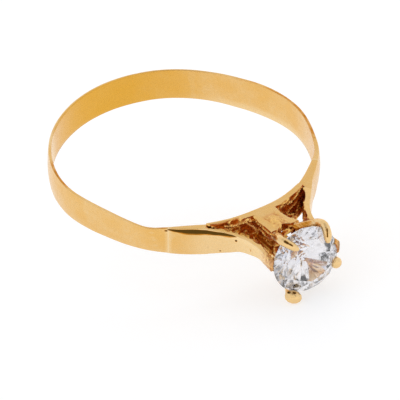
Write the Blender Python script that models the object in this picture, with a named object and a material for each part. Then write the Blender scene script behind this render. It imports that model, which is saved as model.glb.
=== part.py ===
"""Engagement ring: a thin shank, cathedral shoulders, a four-claw head and a brilliant-cut stone.

Frame: the origin is the centre of the finger hole at mid width, +Z is the axis of the hole and the
head points to -Y. Band angles are in degrees from the head, positive towards +X. Places on the head
are (across, out, up): across is +X, out is -Y and up is +Z. All lengths are in millimetres until
they are scaled to metres when a mesh is made.
"""
import math
from collections import namedtuple

import bmesh
import bpy
from mathutils import Matrix, Vector

MM = 0.001

# Clearance between pieces that are soldered, cast or set together.
JOINT_GAP = 0.015

# Shank: angle, inner radius, width, thickness. The strip is slightly out of round, narrows at its
# joints and thickens towards the right shoulder.
SHANK = (
    (44.4, 8.64, 2.06, 0.40), (52, 8.71, 1.94, 0.33), (64, 8.67, 2.18, 0.23), (84, 8.73, 2.40, 0.20),
    (104, 8.58, 2.50, 0.20), (118, 8.48, 2.44, 0.20), (132, 8.58, 2.36, 0.20), (150, 8.75, 2.35, 0.20),
    (165, 8.77, 2.38, 0.20), (180, 8.77, 2.39, 0.20), (195, 8.73, 2.38, 0.20), (215, 8.67, 2.33, 0.20),
    (240, 8.66, 2.25, 0.20), (264, 8.63, 2.22, 0.20), (280, 8.45, 2.22, 0.20), (290, 8.43, 2.12, 0.20),
    (300, 8.60, 1.96, 0.20), (309, 8.80, 1.80, 0.20), (317.6, 8.73, 2.02, 0.20),
)
SHANK_STEPS = 120
RIM_THICKNESS = 0.20
SHANK_DOME = 0.08
EDGE_ROUND = 0.035

# How far the solder seams stand above the pieces that they join.
SEAM_PROUD = 0.02

# Shoulder wedges: angle, inner radius, outer radius, width, chamfer of the upper outer edge.
LEFT_WEDGE = (
    (-41.7, 8.74, 8.95, 2.02, 0.06), (-35, 8.63, 8.95, 2.12, 0.20),
    (-29, 8.60, 9.04, 2.08, 0.26), (-26.3, 8.58, 9.13, 2.02, 0.24),
)
RIGHT_WEDGE = (
    (43.7, 8.63, 9.04, 2.06, 0.20), (38, 8.58, 9.10, 2.16, 0.20),
    (31, 8.58, 9.22, 2.16, 0.22), (24.8, 8.59, 9.60, 2.06, 0.22),
)
WEDGE_STEPS = 14
WEDGE_DOME = 0.06

# Shoulder plates, from the wedge to the girdle: across, out, thickness, width, chamfer.
LEFT_PLATE = (
    (-4.04, 8.19, 0.22, 1.98, 0.18), (-3.67, 8.52, 0.21, 1.85, 0.13), (-2.97, 9.19, 0.23, 1.53, 0.08),
    (-2.57, 9.72, 0.27, 1.17, 0.08), (-2.31, 10.40, 0.32, 1.03, 0.08), (-2.19, 11.20, 0.36, 0.82, 0.08),
    (-2.30, 12.12, 0.36, 0.84, 0.08), (-2.42, 12.72, 0.34, 0.72, 0.08),
)
RIGHT_PLATE = (
    (4.03, 8.71, 0.54, 2.04, 0.18), (3.62, 9.14, 0.42, 1.78, 0.12), (3.16, 9.62, 0.38, 1.46, 0.08),
    (2.80, 10.20, 0.36, 1.20, 0.08), (2.56, 10.92, 0.36, 1.00, 0.08), (2.42, 11.80, 0.36, 0.92, 0.08),
    (2.38, 12.80, 0.38, 0.92, 0.08), (2.42, 13.62, 0.36, 0.92, 0.08),
)
PLATE_STEPS = 26
PLATE_DOME = 0.05

# Finger rail under the head: angle, inner radius, outer radius, width.
RAIL = (
    (-26.15, 8.58, 8.84, 2.20), (-15, 8.53, 8.92, 2.24), (-3, 8.46, 8.98, 2.26),
    (9, 8.55, 9.02, 2.26), (24.65, 8.59, 8.98, 2.20),
)
RAIL_STEPS = 28

# Webs: ribs along the outer side of the rail. Angle, reach beyond the rail, lower and upper height.
LEFT_WEB = ((-24.5, 0.12, -0.28, 0.06), (-17, 0.30, -0.22, 0.14), (-9.5, 0.42, -0.16, 0.22))
RIGHT_WEB = ((23.0, 0.14, -0.62, -0.30), (16, 0.32, -0.58, -0.20), (8.5, 0.42, -0.46, -0.08))
WEB_STEPS = 8

# Stems: one outline across and out, used above and below the mid plane.
STEM_LEFT_SIDE = ((-1.06, 11.0), (-1.02, 10.35), (-0.98, 9.70), (-0.88, 9.08))
STEM_RIGHT_SIDE = ((0.88, 9.08), (0.76, 9.70), (0.84, 10.35), (1.14, 11.0))
STEM_CROTCH = ((0.54, 11.0), (0.04, 10.66), (-0.50, 11.0))
STEM_INNER_FACE = 0.42
STEM_OUTER_FACE = 1.12
STEM_BEVEL = 0.09
STEM_FOOT_STEPS = 8

# Gallery ring between the feet of the claws.
GALLERY_OUT = 11.28
GALLERY_INNER_RADIUS = 0.69
GALLERY_OUTER_RADIUS = 0.91
GALLERY_DEPTH = 0.34
GALLERY_BEVEL = 0.06
GALLERY_SIDES = 40

# Stone: a round brilliant that sits slightly askew in its claws.
STONE_RADIUS = 2.28
STONE_OUT = 13.21
STONE_UP = -0.154
STONE_YAW = -9.6
STONE_PITCH = 7.6
GIRDLE_THICKNESS = 0.06
TABLE_SIZE = 0.57
CROWN_ANGLE = 34.5
PAVILION_ANGLE = 40.75
STAR_LENGTH = 0.50
LOWER_HALF_LENGTH = 0.77
GIRDLE_SIDES = 96

# Cutter for the bearings: radius of its blunt point and how far it runs on above the table.
CUTTER_POINT = 0.02
CUTTER_RISE = 1.0

# Claws. Each one has its foot (across, out, up), its angle round the stone at the girdle and at
# the tip, how far its middle line passes outside the girdle, how far it leans in below the girdle,
# the radius and height of its tip, and the half sizes of its section (along the girdle, away from
# the stone) at the foot, girdle and tip.
Claw = namedtuple(
    "Claw", "foot girdle_angle tip_angle girdle_gap inset tip_radius tip_height at_foot at_girdle at_tip")
CLAWS = {
    "claw_upper_left": Claw(
        (-0.78, 11.015, 0.77), 129, 120, 0.12, 0.20, 1.52, 0.72, (0.28, 0.31), (0.27, 0.28), (0.26, 0.22)),
    "claw_upper_right": Claw(
        (0.84, 11.015, 0.77), 53, 38, 0.22, 0.20, 1.74, 0.66, (0.28, 0.31), (0.27, 0.28), (0.28, 0.26)),
    "claw_lower_left": Claw(
        (-0.78, 11.015, -0.77), 243, 236, 0.30, 0.60, 2.46, 0.62, (0.28, 0.31), (0.38, 0.38), (0.55, 0.42)),
    "claw_lower_right": Claw(
        (0.84, 11.015, -0.77), 336, 343, 0.08, 0.20, 1.78, 0.60, (0.28, 0.31), (0.31, 0.31), (0.37, 0.34)),
}
CLAW_STEPS = 18
CLAW_SIDES = 12
CLAW_RISE = 0.22
CLAW_BELOW_GIRDLE = 0.75
CLAW_BEND_IN = 0.35
CLAW_BEND_UP = 0.6
CLAW_TIP_START = 0.80
CLAW_END_ROUND = 0.94

GOLD = (0.83, 0.56, 0.25, 1.0)
SOLDER = (0.88, 0.68, 0.38, 1.0)
CLEAR_STONE = (0.93, 0.95, 0.97, 1.0)


def clear_scene():
    for item in list(bpy.data.objects):
        bpy.data.objects.remove(item, do_unlink=True)


def principled(name, colour, roughness, metallic):
    material = bpy.data.materials.new(name)
    material.use_nodes = True
    shader = material.node_tree.nodes["Principled BSDF"]
    shader.inputs["Base Color"].default_value = colour
    shader.inputs["Roughness"].default_value = roughness
    shader.inputs["Metallic"].default_value = metallic
    return material


def gold(name):
    return principled(name + "_gold", GOLD, 0.25, 1.0)


def band_place(angle, radius, up):
    turn = math.radians(angle)
    return Vector((radius * math.sin(turn), -radius * math.cos(turn), up))


def head_place(across, out, up):
    return Vector((across, -out, up))


def smooth(stations, position):
    """Value of a smooth curve through the stations, whose first numbers are their positions."""
    last = len(stations) - 2
    index = 0
    while index < last and position > stations[index + 1][0]:
        index += 1
    before = stations[max(index - 1, 0)]
    start = stations[index]
    end = stations[index + 1]
    after = stations[min(index + 2, last + 1)]
    span = end[0] - start[0]
    part = (position - start[0]) / span
    values = []
    for column in range(1, len(start)):
        slope_in = (end[column] - before[column]) / (end[0] - before[0]) * span
        slope_out = (after[column] - start[column]) / (after[0] - start[0]) * span
        values.append(
            (2 * part**3 - 3 * part**2 + 1) * start[column]
            + (part**3 - 2 * part**2 + part) * slope_in
            + (3 * part**2 - 2 * part**3) * end[column]
            + (part**3 - part**2) * slope_out
        )
    return values


def spread(stations, steps):
    """The curve's positions and values at even steps from its first station to its last."""
    first = stations[0][0]
    reach = stations[-1][0] - first
    for step in range(steps + 1):
        position = first + reach * step / steps
        yield (position, *smooth(stations, position))


def numbered(stations):
    """The stations with their own order as position, for curves that turn back on themselves."""
    return [(float(index), *station) for index, station in enumerate(stations)]


def finish_mesh(bm, name, material, crease_angle):
    bmesh.ops.recalc_face_normals(bm, faces=bm.faces)
    bmesh.ops.scale(bm, vec=(MM, MM, MM), verts=bm.verts)
    mesh = bpy.data.meshes.new(name)
    bm.to_mesh(mesh)
    bm.free()
    mesh.shade_smooth()
    mesh.set_sharp_from_angle(angle=math.radians(crease_angle))
    mesh.materials.append(material)
    item = bpy.data.objects.new(name, mesh)
    bpy.context.collection.objects.link(item)
    return item


def add_loop(bm, points):
    corners = [bm.verts.new(point) for point in points]
    return [bm.edges.new((corners[i - 1], corners[i])) for i in range(len(corners))]


def loft(name, sections, material, crease_angle=30):
    """A solid through closed sections that all have the same number of points."""
    bm = bmesh.new()
    loops = [add_loop(bm, points) for points in sections]
    for first, second in zip(loops, loops[1:]):
        bmesh.ops.bridge_loops(bm, edges=first + second)
    for ending in (loops[0], loops[-1]):
        bmesh.ops.contextual_create(bm, geom=ending)
    return finish_mesh(bm, name, material, crease_angle)


def strip_section(inner, outer, low, high, dome, chamfer):
    """Section of a strip: a flat inner side, two edges and an outer side that is slightly domed."""
    away = outer - inner
    thickness = away.length
    away.normalize()
    corner = min(EDGE_ROUND, thickness / 4)
    cut = max(corner, min(chamfer, thickness * 0.7))
    profile = [
        (0, low + corner), (0, high - corner), (corner, high),
        (thickness - cut, high), (thickness - cut * 0.3, high - cut * 0.45), (thickness, high - cut),
    ]
    domed_height = high - cut - low - corner
    for part in (0.2, 0.4, 0.6, 0.8):
        profile.append((thickness + dome * math.sin(math.pi * part), high - cut - domed_height * part))
    profile += [(thickness, low + corner), (thickness - corner, low), (corner, low)]
    return [Vector((inner.x + away.x * reach, inner.y + away.y * reach, up)) for reach, up in profile]


def band_section(angle, inner, outer, width, dome, chamfer):
    half = width / 2
    inner_place = band_place(angle, inner, 0)
    outer_place = band_place(angle, outer, 0)
    return strip_section(inner_place, outer_place, -half, half, dome, chamfer)


def build_shank():
    sections = []
    for angle, inner, width, thickness in spread(SHANK, SHANK_STEPS):
        chamfer = thickness - RIM_THICKNESS
        sections.append(band_section(angle, inner, inner + thickness, width, SHANK_DOME, chamfer))
    return loft("shank", sections, gold("shank"))


def build_seam(name, shank_end, wedge_end):
    """A fillet of solder that fills the joint between the shank and a shoulder wedge."""
    shank_angle, shank_inner, shank_width, shank_thickness = shank_end
    wedge_angle, wedge_inner, wedge_outer, wedge_width, chamfer = wedge_end
    if wedge_angle < 0:
        shank_angle -= 360
    middle = (wedge_angle + shank_angle) / 2
    inner = (wedge_inner + shank_inner) / 2
    outer = (wedge_outer + shank_inner + shank_thickness) / 2
    width = (wedge_width + shank_width) / 2
    half_span = abs(wedge_angle - shank_angle) / 2 - math.degrees(JOINT_GAP / outer)
    dome = (SHANK_DOME + WEDGE_DOME) / 2
    sections = []
    for part, proud in ((-1, 0), (-0.5, SEAM_PROUD), (0.5, SEAM_PROUD), (1, 0)):
        angle = middle + part * half_span
        sections.append(band_section(angle, inner - proud, outer + proud, width + proud, dome, chamfer))
    return loft(name, sections, principled(name + "_solder", SOLDER, 0.35, 1.0))


def build_wedge(name, stations):
    rising = sorted(stations)
    sections = []
    for angle, inner, outer, width, chamfer in spread(rising, WEDGE_STEPS):
        sections.append(band_section(angle, inner, outer, width, WEDGE_DOME, chamfer))
    return loft(name, sections, gold(name))


def build_plate(name, stations, side):
    """An outer shoulder plate, which leaves the band and runs up to the girdle of the stone."""
    curve = list(spread(numbered(stations), PLATE_STEPS))
    outline = [head_place(across, out, 0) for _, across, out, *_ in curve]
    sections = []
    for index, (_, _, _, thickness, width, chamfer) in enumerate(curve):
        ahead = outline[min(index + 1, PLATE_STEPS)]
        behind = outline[max(index - 1, 0)]
        along = (ahead - behind).normalized()
        if index == 0:
            inward = -outline[0].normalized()
        else:
            inward = Vector((along.y, -along.x, 0)) * side
        inner = outline[index] + inward * thickness
        half = width / 2
        sections.append(strip_section(inner, outline[index], -half, half, PLATE_DOME, chamfer))
    return loft(name, sections, gold(name))


def build_rail():
    sections = [
        band_section(angle, inner, outer, width, 0, EDGE_ROUND)
        for angle, inner, outer, width in spread(RAIL, RAIL_STEPS)
    ]
    return loft("finger_rail", sections, gold("finger_rail"))


def build_web(name, stations):
    rising = sorted(stations)
    sections = []
    for angle, reach, low, high in spread(rising, WEB_STEPS):
        root = smooth(RAIL, angle)[1] + JOINT_GAP * 2
        inner = band_place(angle, root, 0)
        outer = band_place(angle, root + reach, 0)
        sections.append(strip_section(inner, outer, low, high, 0, EDGE_ROUND))
    return loft(name, sections, gold(name))


def build_stem(name, side):
    """A Y-shaped arm that stands on one edge of the rail and carries two claws."""
    left_foot = math.degrees(math.atan2(*STEM_LEFT_SIDE[-1]))
    right_foot = math.degrees(math.atan2(*STEM_RIGHT_SIDE[0]))
    foot = []
    for step in range(STEM_FOOT_STEPS + 1):
        angle = left_foot + (right_foot - left_foot) * step / STEM_FOOT_STEPS
        foot.append(band_place(angle, smooth(RAIL, angle)[1] + JOINT_GAP * 2, 0))
    free_sides = STEM_RIGHT_SIDE[1:] + STEM_CROTCH + STEM_LEFT_SIDE[:-1]
    outline = foot + [head_place(across, out, 0) for across, out in free_sides]
    bm = bmesh.new()
    near = [bm.verts.new((point.x, point.y, side * STEM_INNER_FACE)) for point in outline]
    lifted = bmesh.ops.extrude_face_region(bm, geom=[bm.faces.new(near)])["geom"]
    far = [piece for piece in lifted if isinstance(piece, bmesh.types.BMVert)]
    bmesh.ops.translate(bm, vec=(0, 0, side * (STEM_OUTER_FACE - STEM_INNER_FACE)), verts=far)
    claw_end = head_place(0, STEM_LEFT_SIDE[0][1], 0).y
    edges = []
    for edge in bm.edges:
        first, second = (corner.co for corner in edge.verts)
        runs_along_face = abs(first.z - second.z) < STEM_BEVEL
        on_claw_end = max(first.y, second.y) < claw_end + STEM_BEVEL
        on_foot = first.y > foot[0].y - STEM_BEVEL and second.y > foot[0].y - STEM_BEVEL
        if runs_along_face and not on_claw_end and not on_foot:
            edges.append(edge)
    bmesh.ops.bevel(bm, geom=edges, offset=STEM_BEVEL, segments=2, profile=0.6, affect="EDGES")
    return finish_mesh(bm, name, gold(name), 40)


def stone_axes():
    """Unit vectors of the stone: across the girdle, up the girdle and out through the table."""
    out = Vector((math.tan(math.radians(STONE_YAW)), -1, math.tan(math.radians(STONE_PITCH)))).normalized()
    across = (Vector((1, 0, 0)) - out * out.x).normalized()
    up = out.cross(across)
    if up.z < 0:
        up.negate()
    return across, up, out


def stone_place(angle, radius, height):
    """A place given by its angle round the girdle, distance from the axis and height above the girdle."""
    across, up, out = stone_axes()
    turn = math.radians(angle)
    centre = head_place(0, STONE_OUT, STONE_UP)
    return centre + across * (radius * math.cos(turn)) + up * (radius * math.sin(turn)) + out * height


def stone_matrix():
    """Turns a shape made about +Z, with its girdle at z = 0, into the stone's place."""
    across, up, out = stone_axes()
    side = out.cross(across)
    turn = Matrix((across, side, out)).transposed().to_4x4()
    return Matrix.Translation(head_place(0, STONE_OUT, STONE_UP)) @ turn


def facet_planes():
    """Every facet of a round brilliant of unit radius, as a point on it and its outward normal."""
    crown = math.tan(math.radians(CROWN_ANGLE))
    pavilion = math.tan(math.radians(PAVILION_ANGLE))
    top = GIRDLE_THICKNESS / 2
    table_height = top + (1 - TABLE_SIZE) * crown
    step = math.pi / 8

    def around(radius, turn, height):
        return Vector((radius * math.cos(turn), radius * math.sin(turn), height))

    planes = [(Vector((0, 0, table_height)), Vector((0, 0, 1)))]
    table_side = TABLE_SIZE * math.cos(step)
    star_radius = table_side + STAR_LENGTH * (1 - table_side)
    star_height = table_height - (star_radius * math.cos(step) - TABLE_SIZE) * crown
    low_radius = 1 - LOWER_HALF_LENGTH
    low_height = -top - (1 - low_radius * math.cos(step)) * pavilion
    for index in range(8):
        turn = index * 2 * step
        planes.append((around(1, turn, top), around(crown, turn, 1)))
        planes.append((around(1, turn, -top), around(pavilion, turn, -1)))
        star = around(star_radius, turn + step, star_height)
        first = around(TABLE_SIZE, turn, table_height)
        second = around(TABLE_SIZE, turn + 2 * step, table_height)
        planes.append((star, (first - star).cross(star - second)))
        low = around(low_radius, turn + step, low_height)
        middle_top = around(1, turn + step, top)
        middle_low = around(1, turn + step, -top)
        for corner in (turn, turn + 2 * step):
            planes.append((star, (around(1, corner, top) - star).cross(middle_top - star)))
            planes.append((low, (around(1, corner, -top) - low).cross(middle_low - low)))
    return planes


def build_stone():
    """A round rod, cut by each facet in turn as a lapidary would cut it."""
    bm = bmesh.new()
    bmesh.ops.create_cone(
        bm, cap_ends=True, segments=GIRDLE_SIDES, radius1=1, radius2=1, depth=2.4,
    )
    for place, normal in facet_planes():
        if normal.dot(place) < 0:
            normal = -normal
        everything = bm.verts[:] + bm.edges[:] + bm.faces[:]
        cut = bmesh.ops.bisect_plane(
            bm, geom=everything, dist=1e-6, plane_co=place, plane_no=normal, clear_outer=True,
        )
        rim = [piece for piece in cut["geom_cut"] if isinstance(piece, bmesh.types.BMEdge)]
        bmesh.ops.contextual_create(bm, geom=rim)
    bmesh.ops.scale(bm, vec=[STONE_RADIUS] * 3, verts=bm.verts)
    bmesh.ops.transform(bm, matrix=stone_matrix(), verts=bm.verts)
    return finish_mesh(bm, "stone", principled("stone_clear", CLEAR_STONE, 0.03, 0.0), 1)


def build_stone_cutter():
    """The stone's outline, turned and a little larger, which cuts the bearings in its holders."""
    radius = STONE_RADIUS + JOINT_GAP
    top = GIRDLE_THICKNESS / 2 * STONE_RADIUS + JOINT_GAP
    culet_height = -top - radius * math.tan(math.radians(PAVILION_ANGLE))
    table_radius = TABLE_SIZE * STONE_RADIUS
    table_height = top + (radius - table_radius) * math.tan(math.radians(CROWN_ANGLE))
    profile = (
        (CUTTER_POINT, culet_height), (radius, -top), (radius, top),
        (table_radius, table_height), (table_radius, table_height + CUTTER_RISE),
    )
    bm = bmesh.new()
    loops = []
    for ring_radius, height in profile:
        points = []
        for index in range(GIRDLE_SIDES):
            turn = 2 * math.pi * index / GIRDLE_SIDES
            points.append((ring_radius * math.cos(turn), ring_radius * math.sin(turn), height))
        loops.append(add_loop(bm, points))
    for first, second in zip(loops, loops[1:]):
        bmesh.ops.bridge_loops(bm, edges=first + second)
    for ending in (loops[0], loops[-1]):
        bmesh.ops.contextual_create(bm, geom=ending)
    bmesh.ops.transform(bm, matrix=stone_matrix(), verts=bm.verts)
    cutter = finish_mesh(bm, "stone_cutter", principled("cutter", GOLD, 0.5, 0.0), 30)
    cutter.hide_render = True
    cutter.display_type = "WIRE"
    return cutter


def cut_bearing(item, cutter):
    bearing = item.modifiers.new("bearing", "BOOLEAN")
    bearing.operation = "DIFFERENCE"
    bearing.solver = "EXACT"
    bearing.object = cutter


def claw_path(claw):
    """The claw's middle line and half sizes: position, x, y, z, half width, half depth."""
    beyond = STONE_RADIUS + claw.girdle_gap
    foot = head_place(*claw.foot)
    rise = foot + head_place(0, CLAW_RISE, 0)
    below = stone_place(claw.girdle_angle, beyond - claw.inset, -CLAW_BELOW_GIRDLE)
    girdle = stone_place(claw.girdle_angle, beyond, 0)
    bend_angle = (claw.girdle_angle * 2 + claw.tip_angle) / 3
    bend_radius = beyond - CLAW_BEND_IN * (beyond - claw.tip_radius)
    bend = stone_place(bend_angle, bend_radius, CLAW_BEND_UP * claw.tip_height)
    tip = stone_place(claw.tip_angle, claw.tip_radius, claw.tip_height)
    return (
        (0.0, *foot, *claw.at_foot), (0.10, *rise, *claw.at_foot),
        (0.42, *below, *claw.at_girdle), (0.66, *girdle, *claw.at_girdle),
        (CLAW_TIP_START, *bend, *claw.at_tip), (1.0, *tip, *claw.at_tip),
    )


def claw_shrink(position):
    """How much narrower the claw's rounded end is at this position along it."""
    if position <= CLAW_TIP_START:
        return 1.0
    tail = (position - CLAW_TIP_START) / (1 - CLAW_TIP_START)
    return math.sqrt(1 - (CLAW_END_ROUND * tail) ** 2)


def build_claw(name, claw):
    """A bent wire from a stem, up past the girdle and over on to the crown of the stone."""
    curve = list(spread(claw_path(claw), CLAW_STEPS))
    radial = stone_place(claw.girdle_angle, 1, 0) - stone_place(claw.girdle_angle, 0, 0)
    round_girdle = stone_axes()[2].cross(radial)
    sections = []
    for index, (position, x, y, z, half_width, half_depth) in enumerate(curve):
        ahead = Vector(curve[min(index + 1, CLAW_STEPS)][1:4])
        behind = Vector(curve[max(index - 1, 0)][1:4])
        along = (ahead - behind).normalized() if index else head_place(0, 1, 0)
        sideways = (round_girdle - along * round_girdle.dot(along)).normalized()
        away = along.cross(sideways)
        shrink = claw_shrink(position)
        points = []
        for corner in range(CLAW_SIDES):
            turn = 2 * math.pi * corner / CLAW_SIDES
            offset = sideways * (half_width * math.cos(turn)) + away * (half_depth * math.sin(turn))
            points.append(Vector((x, y, z)) + offset * shrink)
        sections.append(points)
    return loft(name, sections, gold(name), 50)


def build_gallery_ring():
    """A flat ring between the feet of the claws."""
    half = GALLERY_DEPTH / 2
    middle = (GALLERY_INNER_RADIUS + GALLERY_OUTER_RADIUS) / 2
    thick = (GALLERY_OUTER_RADIUS - GALLERY_INNER_RADIUS) / 2
    flat = thick - GALLERY_BEVEL
    side = half - GALLERY_BEVEL
    profile = (
        (thick, side), (flat, half), (-flat, half), (-thick, side),
        (-thick, -side), (-flat, -half), (flat, -half), (thick, -side),
    )
    bm = bmesh.new()
    loops = []
    for index in range(GALLERY_SIDES):
        turn = 2 * math.pi * index / GALLERY_SIDES
        points = []
        for reach, height in profile:
            radius = middle + reach
            points.append(head_place(radius * math.cos(turn), GALLERY_OUT + height, radius * math.sin(turn)))
        loops.append(add_loop(bm, points))
    for first, second in zip(loops, loops[1:] + loops[:1]):
        bmesh.ops.bridge_loops(bm, edges=first + second)
    return finish_mesh(bm, "gallery_ring", gold("gallery_ring"), 40)


def main():
    clear_scene()
    build_shank()
    build_seam("left_solder_seam", SHANK[-1], LEFT_WEDGE[0])
    build_seam("right_solder_seam", SHANK[0], RIGHT_WEDGE[0])
    build_wedge("left_shoulder_wedge", LEFT_WEDGE)
    build_wedge("right_shoulder_wedge", RIGHT_WEDGE)
    build_rail()
    build_web("left_web", LEFT_WEB)
    build_web("right_web", RIGHT_WEB)
    build_stem("upper_stem", 1)
    build_stem("lower_stem", -1)
    build_gallery_ring()
    build_stone()
    cutter = build_stone_cutter()
    held = [
        build_plate("left_shoulder_plate", LEFT_PLATE, -1),
        build_plate("right_shoulder_plate", RIGHT_PLATE, 1),
    ]
    for name, claw in CLAWS.items():
        held.append(build_claw(name, claw))
    for item in held:
        cut_bearing(item, cutter)


main()
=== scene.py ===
"""Looks of the engagement ring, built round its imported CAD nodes.

Lengths are in millimetres until a mesh is finished, when it is scaled to metres. Angles round the
band are in degrees from the head, positive towards +X. The head points to -Y, and +Z is the axis
of the finger hole.
"""

import math

import bmesh
import bpy
import numpy as np
from mathutils import Matrix, Vector, noise


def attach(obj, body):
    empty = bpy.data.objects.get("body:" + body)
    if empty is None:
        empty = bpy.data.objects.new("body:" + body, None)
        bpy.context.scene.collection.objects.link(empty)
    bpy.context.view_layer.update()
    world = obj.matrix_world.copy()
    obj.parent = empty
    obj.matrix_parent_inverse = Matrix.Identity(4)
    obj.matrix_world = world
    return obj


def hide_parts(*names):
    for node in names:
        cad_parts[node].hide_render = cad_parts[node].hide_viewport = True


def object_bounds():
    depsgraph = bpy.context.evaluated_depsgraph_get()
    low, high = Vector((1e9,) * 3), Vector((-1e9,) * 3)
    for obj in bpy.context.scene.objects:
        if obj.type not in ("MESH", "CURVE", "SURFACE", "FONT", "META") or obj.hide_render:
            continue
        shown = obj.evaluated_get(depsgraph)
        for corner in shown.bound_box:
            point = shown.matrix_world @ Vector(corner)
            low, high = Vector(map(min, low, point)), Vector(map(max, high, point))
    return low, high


MM = 0.001

# Camera: where it stands round the finger hole's centre, and the point that it looks at, given as
# a distance to the right and down as the camera sees them.
CAMERA_AZIMUTH = -126.0
CAMERA_ELEVATION = 36.07
CAMERA_ROLL = -0.47
CAMERA_DISTANCE = 213.4
CAMERA_LENS = 289.7
AIM_RIGHT = 1.16
AIM_DOWN = 2.70
SENSOR_WIDTH = 36.0
# How near and how far the camera sees, in metres.
NEAREST = 0.001
FARTHEST = 10.0

# Light: a white dome, dimmer behind the ring and at the top and bluish at the sides, with a dark card
# on the camera's side. It stands over a glowing white table. Angles are in degrees.
DOME_WHITE = (1.0, 0.995, 0.985, 1.0)
DOME_STRENGTH = 1.05
CARD_COLOUR = (0.14, 0.13, 0.13, 1.0)
CARD_LOW = 44.0
CARD_HIGH = 66.0
CARD_HALF_WIDTH = 20.0
CARD_SOFTNESS = 8.0
FAR_COLOUR = (0.84, 0.84, 0.85, 1.0)
FAR_LOW = 20.0
FAR_HIGH = 58.0
SIDE_COLOUR = (0.84, 0.88, 1.0, 1.0)
SIDE_START = 20.0
SIDE_FULL = 80.0
TOP_COLOUR = (0.60, 0.60, 0.62, 1.0)
TOP_START = 62.0
TOP_FULL = 74.0
FLOOR_SIZE = 1600.0
FLOOR_COLOUR = (0.45, 0.45, 0.45, 1.0)
FLOOR_ROUGHNESS = 0.55
FLOOR_SHINE = 0.15
FLOOR_GLOW = 0.61
# The steepest that the table can be against the ring, and how often that range is halved.
STEEPEST_FLOOR = 0.3
FLOOR_HALVINGS = 24

# Gold, from the palest to the darkest, and its look where the casting was left rough.
# The palest gold is the solder's, and it is also the colour of painted highlights.
SOLDER_AND_HIGHLIGHT_GOLD = (0.92, 0.69, 0.38, 1.0)
PALE_GOLD = (0.83, 0.555, 0.245, 1.0)
WARM_GOLD = (0.81, 0.465, 0.125, 1.0)
DEEP_GOLD = (0.76, 0.39, 0.030, 1.0)
AMBER = (0.66, 0.25, 0.02, 1.0)
# Amber and this darkest colour stand for tarnishing and for painted shade.
SHADE_AND_TARNISH = (0.10, 0.050, 0.008, 1.0)
# On the crust, the light colour is a painted highlight on the crests, and the dark one is partly tarnishing
# and partly painted shade in the hollows.
CRUST_HIGHLIGHT = (1.0, 0.62, 0.17, 1.0)
CRUST_SHADE_AND_TARNISH = (0.46, 0.085, 0.005, 1.0)
# Painted light: towards this side of the band the inner face is painted a deeper yellow: the way, and how
# far along it the yellow starts and is full.
DEEP_SIDE = (-0.05, 0.999, 0.0)
DEEP_START = 4.5
DEEP_FULL = 8.9
DEEP_SHARE = 0.85
# Scales of the gold's noises, and the height of its relief. A stretch is the scale along X, Y and Z.
PATCH_SCALE = 0.55
MOTTLE_SCALE = 5.0
GRAIN_SCALE = 26.0
PIT_SCALE = 1.9
STREAK_STRETCH = (0.8, 0.8, 17.0)
CROSS_STRETCH = (7.0, 7.0, 2.2)
BUMP_DISTANCE = 0.001

STONE_IOR = 2.16
STONE_COOL = (0.84, 0.84, 0.90, 1.0)
STONE_WARM = (0.90, 0.87, 0.87, 1.0)
STONE_BUMP_DISTANCE = 0.0003

# What a mesh notes for its material at each point.
LAYERS = ("crust", "crest", "tarnish_and_shade", "wear_and_highlight")

# Shank: angle, inner radius, width, thickness, as on the CAD node.
SHANK = (
    (44.4, 8.64, 2.06, 0.40), (52, 8.71, 1.94, 0.33), (64, 8.67, 2.18, 0.23), (84, 8.73, 2.40, 0.20),
    (104, 8.58, 2.50, 0.20), (118, 8.48, 2.44, 0.20), (132, 8.58, 2.36, 0.20), (150, 8.75, 2.35, 0.20),
    (165, 8.77, 2.38, 0.20), (180, 8.77, 2.39, 0.20), (195, 8.73, 2.38, 0.20), (215, 8.67, 2.33, 0.20),
    (240, 8.66, 2.25, 0.20), (264, 8.63, 2.22, 0.20), (280, 8.45, 2.22, 0.20), (290, 8.43, 2.12, 0.20),
    (300, 8.60, 1.96, 0.20), (309, 8.80, 1.80, 0.20), (317.6, 8.73, 2.02, 0.20),
)
SHANK_STEPS = 520
SHANK_DOME = 0.08
RIM_ROUND = 0.09

# Steps round the section of a bar: each rounded corner, the inner side, the top and the outer side.
ROUND_STEPS = 5
FACE_STEPS = 9
PLATE_FACE_STEPS = 40
TOP_STEPS = 5
OUTER_STEPS = 44
# The least flat that the rounded corners leave, how steeply the outer side falls back, and a hair of
# height that keeps its end short of the full quarter turn.
LEAST_FLAT = 0.005
FALL_POWER = 0.7
FALL_REST = 0.001

# Grooves and pits: both ends, radius, depth and how dark they are. Where the depth is negative the
# metal stands out instead.
SHANK_DENTS = (
    ((4.64, 7.38, 0.20), (4.84, 7.26, 0.24), 0.10, 0.02, 0.5),
    ((-6.12, -6.50, 0.82), (-6.02, -6.62, 0.82), 0.08, 0.02, 0.8),
)

SEAM_PROUD = 0.012
SEAM_STEPS = 8

# Shoulder wedges: angle, inner radius, thickness, width, bulge of the outer side and the height over
# which it leans out.
LEFT_WEDGE = (
    (-41.7, 8.73, 0.21, 2.02, 0.08, 0.90), (-37, 8.65, 0.30, 2.09, 0.12, 0.42),
    (-31, 8.60, 0.41, 2.10, 0.17, 0.42), (-26.0, 8.58, 0.56, 2.02, 0.17, 0.42),
)
RIGHT_WEDGE = (
    (43.7, 8.63, 0.41, 2.06, 0.10, 0.70), (38, 8.58, 0.52, 2.14, 0.08, 0.60),
    (31, 8.58, 0.65, 2.14, 0.07, 0.60), (24.5, 8.59, 1.02, 2.06, 0.07, 0.60),
)
WEDGE_STEPS = 60
LIP_ROUND = 0.05

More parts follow.
